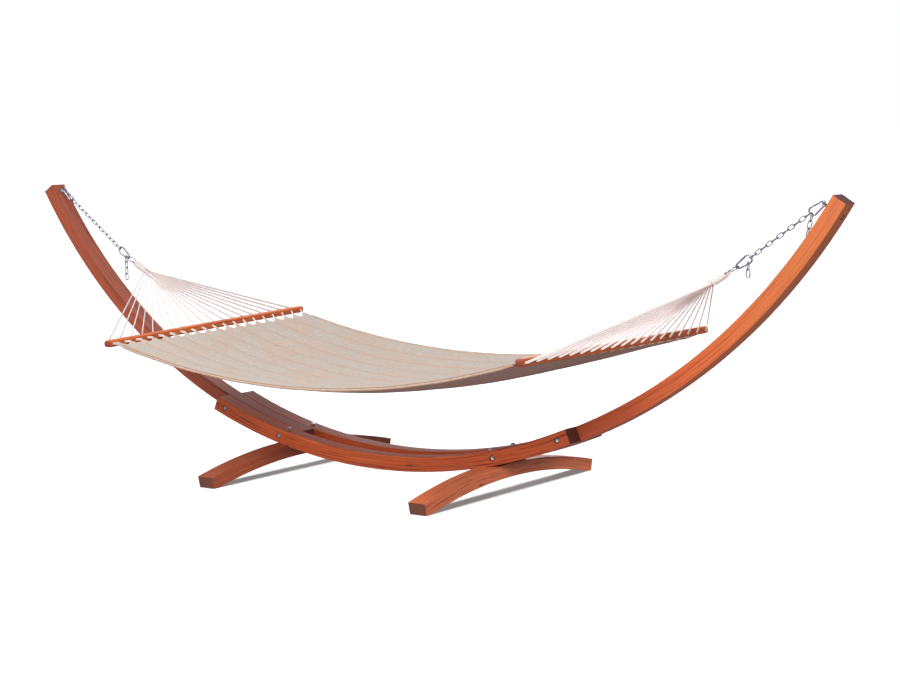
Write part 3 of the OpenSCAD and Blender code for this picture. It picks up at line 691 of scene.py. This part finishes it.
def quilt_relief(t, y):
    """How far the top stands below the bed's nominal top: sewn lines low, channels puffed, seams puckered."""
    x = t * BED_LEN
    lane = (y + BED_INNER) / (2 * BED_INNER) * CHANNELS
    puff = np.abs(np.sin(np.pi * lane)) ** 0.55
    nearer, clear = to_end(x)
    puff = puff * (0.35 + 0.65 * clear)
    nearest = np.round(lane)
    pucker = np.sin(2 * np.pi * (x / PUCKER_PITCH) + 2.4 * nearest + 1.3 * np.sin(x * 31 + nearest))
    pull = np.cos(2 * np.pi * y / HEM_PITCH) * np.exp(-nearer / PULL_REACH)
    return GROOVE - (GROOVE + CREST) * puff + PUCKER * (1 - puff) * pucker - PULL * pull + quilt_swell(x, y)


def quilt_under(t, y):
    """The underside's depth, which mirrors the quilting of the top."""
    swell = quilt_swell(t * BED_LEN, y)
    return BED_T - (quilt_relief(t, y) - swell) + swell


def bed_grid(rows, columns):
    t = np.linspace(HEM_SHARE, 1 - HEM_SHARE, rows)[:, None]
    y = np.linspace(-BED_INNER, BED_INNER, columns)[None, :]
    return np.broadcast_arrays(t, y)


def make_bed(cloth, under_cloth, binding_cloth, thread, fill):
    """The covers, the wadding between them, the hems, the bindings and the stitching."""
    t, y = bed_grid(330, CHANNELS * 12 + 1)
    top = quilt_relief(t, y)
    covers = Builder()
    slab(covers, bed_surface(t, y, top), bed_surface(t, y, top + COVER_T))
    top_cover = covers.piece("bed_top_cloth", cloth, "hammock", ["bed_top_cover"], crease=50)
    under = quilt_under(t, y)
    covers = Builder()
    slab(covers, bed_surface(t, y, under - COVER_T), bed_surface(t, y, under))
    bottom_cover = covers.piece("bed_bottom_cloth", under_cloth, "hammock",
                                ["bed_bottom_cover"], crease=50)
    t, y = bed_grid(120, CHANNELS * 8 + 1)
    lining = 1.6 * COVER_T
    inside = Builder()
    slab(inside, bed_surface(t, y, quilt_relief(t, y) + lining), bed_surface(t, y, quilt_under(t, y) - lining))
    pad = inside.piece("bed_wadding", fill, "hammock", ["bed_padding"], crease=50)
    hems = [make_hem(side, cloth, under_cloth) for side in (LEFT, RIGHT)]
    bindings = [make_binding(name, sign, binding_cloth, thread) for name, sign in (("front", -1), ("back", 1))]
    make_stitches(thread)


STITCH_PITCH, STITCH_LEN = 0.0060, 0.0040
# along a stitch: share of its length, rise above the cloth, radius
STITCH_PROFILE = ((0.0, 0.0, 0.0002), (0.2, 0.0006, 0.0005), (0.8, 0.0006, 0.0005), (1.0, 0.0, 0.0002))


def make_stitches(thread):
    """The thread that shows along each quilting line, one short dash a stitch."""
    builder = Builder()
    t = np.arange(HEM_SHARE * BED_LEN + 0.008, BED_LEN * (1 - HEM_SHARE) - 0.010, STITCH_PITCH) / BED_LEN
    share, rise, radius = np.array(STITCH_PROFILE).T
    sides, last = 5, len(share) - 1
    spoke = 2 * np.pi * np.arange(sides) / sides
    inset, sunk = 0.0015, 0.0003
    for k in range(CHANNELS + 1):
        y = np.full(len(t), -BED_INNER + 2 * BED_INNER * k / CHANNELS)
        y = np.clip(y, -BED_INNER + inset, BED_INNER - inset)
        along = t[:, None] + share[None, :] * STITCH_LEN / BED_LEN
        depth = quilt_relief(along, y[:, None]) - rise[None, :] + sunk
        line = bed_surface(along, y[:, None], depth)
        ring = line[:, :, None, :] + radius[None, :, None, None] * np.stack(
            [np.zeros(sides), np.cos(spoke), np.sin(spoke)], 1)[None, None]
        faces = []
        for m in range(len(t)):
            base = m * len(share) * sides
            faces += [(base + i * sides + j, base + i * sides + (j + 1) % sides,
                       base + (i + 1) * sides + (j + 1) % sides, base + (i + 1) * sides + j)
                      for i in range(last) for j in range(sides)]
            faces.append(tuple(base + j for j in range(sides - 1, -1, -1)))
            faces.append(tuple(base + last * sides + j for j in range(sides)))
        builder.add(ring, faces)
    return builder.piece("bed_stitches", thread, "hammock")


def hem_edge(y):
    """How far the bed's end draws back between the cords."""
    return SCALLOP * np.abs(np.sin(np.pi * y / HEM_PITCH)) ** 0.75


def make_hem(side, cloth, under_cloth):
    """The hem at one end: cloth folded over, its edge drawn into scallops between the cords."""
    columns = 18 * 16 + 41
    y = np.linspace(-BED_HALF, BED_HALF, columns)
    edge = hem_edge(np.clip(y, -CORD_REACH * HEM_PITCH, CORD_REACH * HEM_PITCH))
    inner = HEM_SHARE * BED_LEN
    share = np.linspace(0, 1, 9) ** 0.8
    turn = np.linspace(0, np.pi, 9)[1:-1]
    # round the section: along the top to the nose, round it, and back along the underside
    outline = [(inner + (edge + HEM_NOSE - inner) * k, 0.0) for k in share]
    outline += [(edge + HEM_NOSE - HEM_NOSE * np.sin(a), a / np.pi) for a in turn]
    outline += [(inner + (edge + HEM_NOSE - inner) * k, 1.0) for k in share[::-1]]
    rows = []
    for x, part in outline:
        t = np.broadcast_to(x, y.shape) / BED_LEN
        if side is RIGHT:
            t = 1 - t
        high, low = quilt_relief(t, y), quilt_under(t, y)
        middle, half = (high + low) / 2, (low - high) / 2
        slim = np.clip(np.minimum(x - edge, 0.03) / 0.03, 0, 1) ** 0.5
        half = HEM_NOSE + (half - HEM_NOSE) * slim
        hang = DROOP * edge / SCALLOP * np.clip(1 - (x - edge) / 0.045, 0, 1) ** 2
        rows.append(bed_surface(t, y, middle + hang - half * np.cos(np.pi * part)))
    sections = np.stack(rows, 1)
    hem = Builder()
    loft(hem, sections if side is LEFT else sections[:, ::-1])
    made = hem.piece(f"{side.name}_hem_roll", cloth, "hammock", [f"{side.name}_hem"], crease=60)
    made.data.materials.append(under_cloth)
    underside_below = -0.25 if side is LEFT else 0.4
    for face in made.data.polygons:
        face.material_index = int(face.normal.z < underside_below)
    return made


# the binding's section: distance out from the bed's inner edge, depth below its top
BINDING_OUTLINE = [(0.0000, 0.0030), (0.0022, 0.0012), (0.0060, 0.0006), (0.0100, 0.0014), (0.0128, 0.0034),
                   (0.0139, 0.0060), (0.0128, 0.0086), (0.0100, 0.0106), (0.0060, 0.0114), (0.0022, 0.0108),
                   (0.0000, 0.0090)]


PIPING_R, PIPING_OUT = 0.0019, 0.0115
PIPING_DEPTHS = (("top", 0.0012), ("bottom", 0.0112))


def make_binding(name, sign, cloth, thread):
    """The side edge: a folded cloth strip between two rows of piping."""
    t = np.linspace(HEM_SHARE, 1 - HEM_SHARE, 420)
    x = t * BED_LEN
    ripple = 0.0006 * np.sin(x * 210 + np.sin(x * 17)) + 0.0009 * np.sin(x * 23 + sign)
    rows = [bed_surface(t, sign * (BED_INNER + out + ripple * (out > 0)), depth + 0.5 * ripple)
            for out, depth in BINDING_OUTLINE]
    sections = np.stack(rows, 1)
    strip = Builder()
    loft(strip, sections if sign < 0 else sections[:, ::-1])
    made = strip.piece(f"{name}_edge_strip", cloth, "hammock", [f"{name}_binding"], crease=60)
    for label, depth in PIPING_DEPTHS:
        line = bed_surface(t, sign * (BED_INNER + PIPING_OUT + ripple), depth + 0.5 * ripple)
        piping = Builder()
        sweep(piping, line, PIPING_R, sides=8)
        piping.piece(f"{name}_{label}_piping", thread, "hammock")
    return made


# ---------- ropes ----------

# how far apart a strand's sections are, and the length of one turn of its plies
STRAND_STEP = 0.0027
STRAND_LAY = 0.0216
LACING_R, LACING_LAY = 0.0013, 0.009
WHIP_CORD, WHIP_PITCH, WHIP_R = 0.0044, 0.0044 * 1.02, 0.0145
WHIP_LAY = 0.014
KNOT_R, KNOT_SIZE = 0.0021, 0.0036 * 0.62
RING_LOOP_R, RING_LOOP_STEP, RING_LOOP_LAY = 0.0021, 0.0016, 0.016


def cord_root(i):
    """Where cord i leaves the clew: how far along the rope and how far across it."""
    s = (CORD_REACH - abs(i) + 0.3) * CLEW_ROW
    return WHIP_END + s, np.sign(i) * (0.003 + 0.0009 * abs(i))


def make_cord(side, i, material):
    """One cord: out of the whipping, through the clew and the bar, round in the hem and back again."""
    s, y = cord_root(i)
    out, hem_y = side.out, i * HEM_PITCH
    hem = bed_surface(np.array(0.0 if out > 0 else 1.0), np.array(hem_y), BED_T / 2)
    layer = 0.0014 * (i % 2)
    builder = Builder()
    for sign in (1, -1):
        inside = side.rope_point(np.array(WHIP_END - 0.03), 0.45 * y, sign * (0.0028 + layer))
        start = side.rope_point(np.array(WHIP_END + 0.002), 0.72 * y, sign * (0.0030 + layer))
        root = side.rope_point(np.array(s), y, sign * LOOP_HALF)
        outer = side.bar_point((-out * (BAR_W / 2 + MOUTH), i * CORD_PITCH, sign * LOOP_HALF))
        inner = side.bar_point((out * (BAR_W / 2 + MOUTH), i * CORD_PITCH, sign * LOOP_HALF))
        turn = hem + np.array([0, 0, sign * LOOP_HALF])
        into = hem + np.array([out * 0.009, 0, sign * LOOP_HALF * 0.7])
        sweep(builder, resample([inside, start, root, outer, inner, turn, into], STRAND_STEP),
              CORD_D / 2, sides=9, plies=3, pitch=STRAND_LAY)
    number = i + CORD_REACH + 1
    return builder.piece(f"{side.name}_cord_{number:02d}", material, "hammock", [f"{side.name}_cords"])


def clew_size(s):
    """Half the width and half the height of the clew, s from the whipping."""
    share = np.clip(s / CLEW_LEN, 0, 1)
    return 0.0152 - 0.0098 * share, 0.0078 - 0.0028 * share


def make_clew(side, material):
    """The weave that holds the cords together: two lacing cords cross as they wind round them."""
    builder = Builder()
    rows = 9
    for way in (1, -1):
        a = np.linspace(0, 2 * np.pi * rows, rows * 26)
        s = a / (2 * np.pi) * CLEW_ROW
        wide, high = clew_size(s)
        height = high * np.sin(a) + 0.0007 * way * np.cos(2 * a)
        line = side.rope_point(WHIP_END + s, wide * np.cos(a) * way, height)
        sweep(builder, line, LACING_R, sides=8, plies=2, pitch=LACING_LAY, relief=0.16)
    return builder.piece(f"{side.name}_clew_weave", material, "hammock", [f"{side.name}_clew"])


def make_whipping(side, material):
    """The cord wound tight round the bundle, ending in a knot beside the clew."""
    builder = Builder()
    turns = (WHIP_END - WHIP_START - WHIP_CORD) / WHIP_PITCH
    a = np.linspace(0, 2 * np.pi * turns, int(turns * 28))
    s = WHIP_START + WHIP_CORD / 2 + a / (2 * np.pi) * WHIP_PITCH
    slant = 0.0022 * np.sin(a)
    radius = WHIP_R - WHIP_CORD / 2 + 0.0003 * np.sin(3.7 * a / (2 * np.pi))
    line = side.rope_point(s + slant, radius * np.cos(a), radius * np.sin(a))
    sweep(builder, line, WHIP_CORD / 2, sides=9, plies=3, pitch=WHIP_LAY)
    b = np.linspace(0, 2 * np.pi, 96, endpoint=False)
    knot = np.stack([np.sin(b) + 2 * np.sin(2 * b), np.cos(b) - 2 * np.cos(2 * b), -np.sin(3 * b)], 1)
    centre = side.rope_point(np.array(WHIP_END + 0.012), 0.004, 0.0125)
    sweep(builder, centre + knot * KNOT_SIZE, KNOT_R, sides=9, plies=3, pitch=WHIP_LAY, closed=True)
    return builder.piece(f"{side.name}_wound_cord", material, "hammock", [f"{side.name}_whipping"])


def make_ring_loops(side, material):
    """The bundle's loops over the ring, drawn together into the whipping."""
    builder = Builder()
    for k in range(-2, 3):
        a = np.radians(np.linspace(70, 290, 17))
        wrap = RING_WIRE / 2 + 0.0022
        inside, mouth, neck = WHIP_START + 0.03, WHIP_START + 0.006, 0.004
        s = np.r_[inside, mouth, neck, wrap * np.cos(a), neck, mouth, inside]
        h = np.r_[0.0074, 0.0074, 0.0060, wrap * np.sin(a), -0.0060, -0.0074, -0.0074]
        y = np.full(len(s), k * 0.0044)
        y[:2] *= 0.8
        y[-2:] *= 0.8
        line = resample(side.rope_point(s, y, h), RING_LOOP_STEP)
        sweep(builder, line, RING_LOOP_R, sides=9, plies=3, pitch=RING_LOOP_LAY)
    return builder.piece(f"{side.name}_ring_loops", material, "hammock", [f"{side.name}_rope_bundle"])


# ---------- carabiners ----------


# the hinge tongue and the nose, along the gate: start, end and half their height
GATE_START, GATE_END = 0.0053, 0.0425
HOOK_ENDS = ((0.0043, 0.0112, 0.0029), (0.0358, 0.0435, 0.0021))
HOOK_END_DEEP = 0.00145


def hook_places():
    """Each carabiner: its name, the point it hangs from, its heading, its roll and the wire it holds."""
    for side in (LEFT, RIGHT):
        flip = 90 if side is LEFT else -90
        yield f"{side.name}_upper", side.pivot, side.run[0], 0 if side is LEFT else 90, EYE_WIRE
        yield f"{side.name}_lower", side.ring_top, side.run[2] + 180, flip, RING_WIRE


def make_carabiner(name, point, angle, roll, held_wire, material):
    """A bent wire carabiner body, open where its gate lies, with the hinge tongue and the nose."""
    def gate_side(s, aside=0.0):
        off = HOOK_NARROW - aside
        x = s * math.cos(HOOK_TAPER) - off * math.sin(HOOK_TAPER)
        y = -s * math.sin(HOOK_TAPER) - off * math.cos(HOOK_TAPER)
        return (x, y, 0.0)

    def arc(x, r, start, stop, steps):
        a = np.linspace(start, stop, steps)
        return [(x + r * math.cos(k), r * math.sin(k), 0.0) for k in a]

    half = math.pi / 2 + HOOK_TAPER
    line = ([gate_side(GATE_START)] + arc(0, HOOK_NARROW, 2 * math.pi - half, half, 40)
            + arc(HOOK_SPAN, HOOK_WIDE, half, -half, 56) + [gate_side(GATE_END)])
    local = Builder()
    sweep(local, line, HOOK_WIRE / 2, sides=24)
    for start, stop, half_h in HOOK_ENDS:
        a = np.linspace(0, 2 * np.pi, 20, endpoint=False)
        across = np.sign(np.sin(a)) * np.abs(np.sin(a)) ** 0.5 * half_h
        deep = np.sign(np.cos(a)) * np.abs(np.cos(a)) ** 0.5 * HOOK_END_DEEP
        rows = []
        for s, size in ((start, 0.7), (start + 0.0006, 1.0), (stop - 0.0006, 1.0), (stop, 0.7)):
            rows.append([(*gate_side(s, u * size)[:2], d * size) for u, d in zip(across, deep)])
        loft(local, np.array(rows))
    place = (Matrix.Translation(Vector(point)) @ Matrix.Rotation(math.radians(-angle), 4, "Y")
             @ Matrix.Rotation(math.radians(roll), 4, "X") @ Matrix.Translation((hook_start(held_wire), 0, 0)))
    spin = np.array(place)
    local.points = [p @ spin[:3, :3].T + spin[:3, 3] for p in local.points]
    return local.piece(f"{name}_hook", material, "hammock", [f"{name}_carabiner"], crease=50)


# ---------- assembly ----------


def paint_stand():
    """Wood of its own for each timber, from light, middle and dark tones of stained wood and a seed."""
    paint("left_arm", wood("left_arm_wood", arc_coordinates, (0.54, 0.140, 0.066), (0.38, 0.084, 0.038),
                           (0.140, 0.030, 0.018), 1, end_colour=(0.16, 0.050, 0.044)))
    paint("right_arm", wood("right_arm_wood", arc_coordinates, (0.92, 0.275, 0.066), (0.76, 0.185, 0.045),
                            (0.480, 0.098, 0.030), 2, end_colour=(0.21, 0.062, 0.060), knots=False,
                            clamp_darkening=RIGHT_ARM_DARKENING))
    for name, seed in (("front_rail", 3), ("back_rail", 5)):
        paint(name, wood(f"{name}_wood", arc_coordinates, (0.66, 0.150, 0.038), (0.46, 0.076, 0.018),
                         (0.140, 0.024, 0.011), seed))
    paint("left_foot", wood("left_foot_wood", foot_coordinates, (0.48, 0.125, 0.046), (0.34, 0.070, 0.028),
                            (0.110, 0.024, 0.013), 6))
    paint("right_foot", wood("right_foot_wood", foot_coordinates, (0.74, 0.225, 0.092), (0.54, 0.134, 0.054),
                             (0.150, 0.036, 0.020), 8))
    bars = wood("spreader_bar_wood", bar_coordinates, (0.62, 0.155, 0.028), (0.46, 0.096, 0.016),
                (0.200, 0.034, 0.008), 4, end_colour=(0.16, 0.030, 0.016), knots=False)
    for side in ("left", "right"):
        paint(f"{side}_spreader_bar", bars)


def paint_metal():
    bright = zinc("zinc_fastener", (0.70, 0.74, 0.80), 0.26)
    dull = zinc("zinc_washer", (0.50, 0.53, 0.58), 0.36)
    # the clamp washers are painted nearly black: painted shade of the recesses they sit in, not the zinc's own
    # colour
    sunk = zinc("zinc_sunk", (0.10, 0.09, 0.10), 0.5)
    wire = zinc("zinc_wire", (0.46, 0.49, 0.57), 0.26)
    link = zinc("zinc_link", (0.44, 0.47, 0.56), 0.30)
    for name in ("clamp_bolts", "foot_bolts", "eye_nuts"):
        paint(name, bright)
    for name in ("clamp_nuts", "foot_washers", "foot_nuts", "eye_washers"):
        paint(name, dull)
    paint("clamp_washers", sunk)
    for side in ("left", "right"):
        paint(f"{side}_eye_bolt", wire)
        paint(f"{side}_ring", wire)
        paint(f"{side}_chain", link)
        for level in ("upper", "lower"):
            paint(f"{side}_{level}_gate", wire)
            paint(f"{side}_{level}_rivet", dull)
    for name in ("left_lower_chain_tail", "right_upper_chain_tail", "right_lower_chain_tail"):
        paint(name, link)
    for place in hook_places():
        make_carabiner(*place, wire)


def make_hammock():
    # the cords and the whipping glow faintly: painted light, not a lamp
    cord = cotton("cord_cotton", (0.90, 0.81, 0.78), (0.66, 0.50, 0.46), painted_glow=0.09)
    wound = cotton("whipping_cotton", (0.92, 0.84, 0.79), (0.68, 0.53, 0.46), painted_glow=0.05)
    # the bed cloth's third colour is the tan of the thread and of the painted groove shade along the quilting lines
    cloth = woven("bed_cloth", (0.73, 0.65, 0.56), (0.49, 0.42, 0.355), (0.66, 0.41, 0.27))
    edge_cloth = woven("bed_edge_cloth", (0.78, 0.65, 0.54), (0.58, 0.46, 0.37), (0.70, 0.46, 0.32), seams=False)
    under_cloth = woven("bed_under_cloth", (0.68, 0.42, 0.30), (0.48, 0.28, 0.20), (0.48, 0.26, 0.17))
    thread = cotton("piping_thread", (0.46, 0.27, 0.17), (0.28, 0.15, 0.09))
    make_bed(cloth, under_cloth, edge_cloth, thread, wadding("bed_wadding_fibre"))
    for side in (LEFT, RIGHT):
        make_ring_loops(side, cord)
        make_whipping(side, wound)
        make_clew(side, wound)
        for i in range(-CORD_REACH, CORD_REACH + 1):
            make_cord(side, i, cord)


make_camera()
make_light()
make_floor()
paint_stand()
paint_metal()
make_hammock()
side_light()
